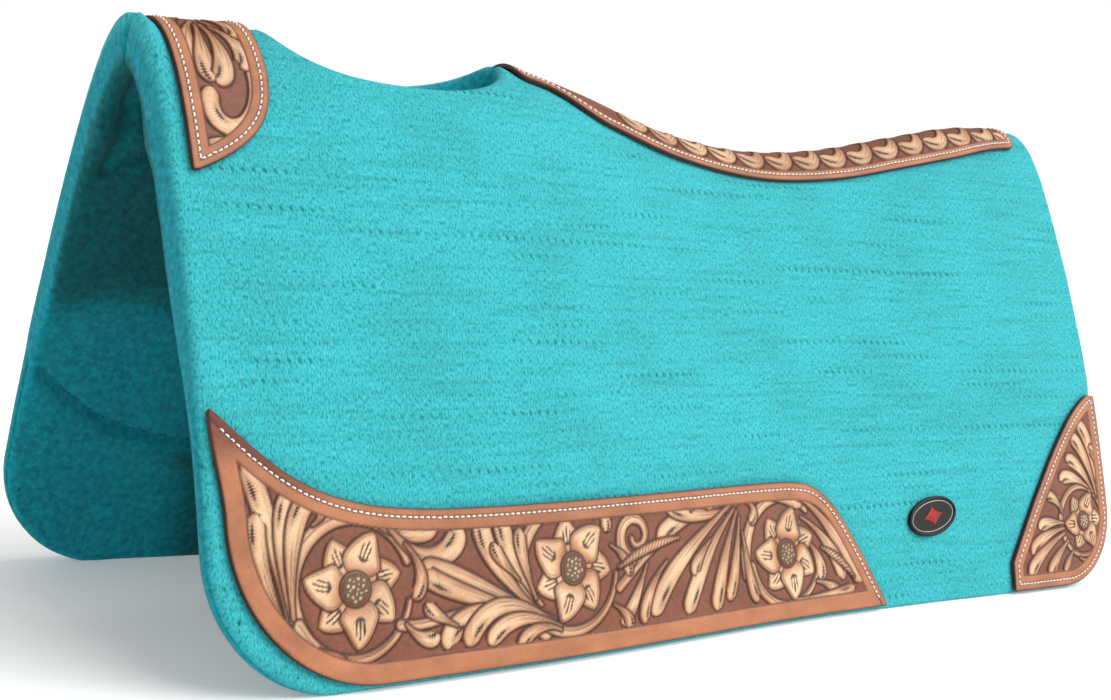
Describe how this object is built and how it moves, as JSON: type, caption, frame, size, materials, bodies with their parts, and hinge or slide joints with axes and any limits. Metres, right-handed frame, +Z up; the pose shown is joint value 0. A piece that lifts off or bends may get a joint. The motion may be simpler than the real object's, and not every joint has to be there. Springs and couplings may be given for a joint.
{
  "type": "saddle pad",
  "caption": "Contoured felt saddle pad standing as an arch, with a wither cut-out, tooled leather trim and two flanks that flex at the spine.",
  "frame": {"origin": "on the ground, below the middle of the pad's box", "axes": "+X from the front edge to the tail, -Y the horse's left side, +Z up"},
  "size_m": [0.8, 0.3262, 0.3571],
  "materials": {
    "felt": "dense turquoise wool felt",
    "tooled_leather": "hand tooled, antiqued tan leather",
    "white_thread": "waxed sewing thread",
    "dark_thread": "dark teal sewing thread",
    "badge_black": "glossy black",
    "badge_red": "satin red"
  },
  "bodies": {
    "spine": {"wither_leather": "tooled_leather", "spine_leather": "tooled_leather", "seam_cord_front": "dark_thread", "seam_cord_rear": "dark_thread"},
    "left_flank": {"felt_left": "felt", "front_wear_leather_left": "tooled_leather", "rear_wear_leather_left": "tooled_leather", "wither_thread_left": "white_thread", "spine_thread_left": "white_thread", "front_wear_thread_left": "white_thread", "rear_wear_thread_left": "white_thread", "front_wear_bobbin_left": "dark_thread", "rear_wear_bobbin_left": "dark_thread", "badge_plate": "badge_black", "badge_rim": "badge_black", "badge_emblem": "badge_red"},
    "right_flank": {"felt_right": "felt", "front_wear_leather_right": "tooled_leather", "rear_wear_leather_right": "tooled_leather", "wither_thread_right": "white_thread", "spine_thread_right": "white_thread", "front_wear_thread_right": "white_thread", "rear_wear_thread_right": "white_thread", "front_wear_bobbin_right": "dark_thread", "rear_wear_bobbin_right": "dark_thread"}
  },
  "joints": [
    {"name": "left_flank_flex", "type": "hinge", "parent": "spine", "child": "left_flank", "pos_m": [0, 0, 0.356], "axis": [-1, 0, 0], "range_deg": [0, 22], "stiffness_Nm_per_rad": 60, "deforming": ["wither_leather", "spine_leather"]},
    {"name": "right_flank_flex", "type": "hinge", "parent": "spine", "child": "right_flank", "pos_m": [0, 0, 0.356], "axis": [1, 0, 0], "range_deg": [0, 22], "stiffness_Nm_per_rad": 60, "deforming": ["wither_leather", "spine_leather"]}
  ]
}
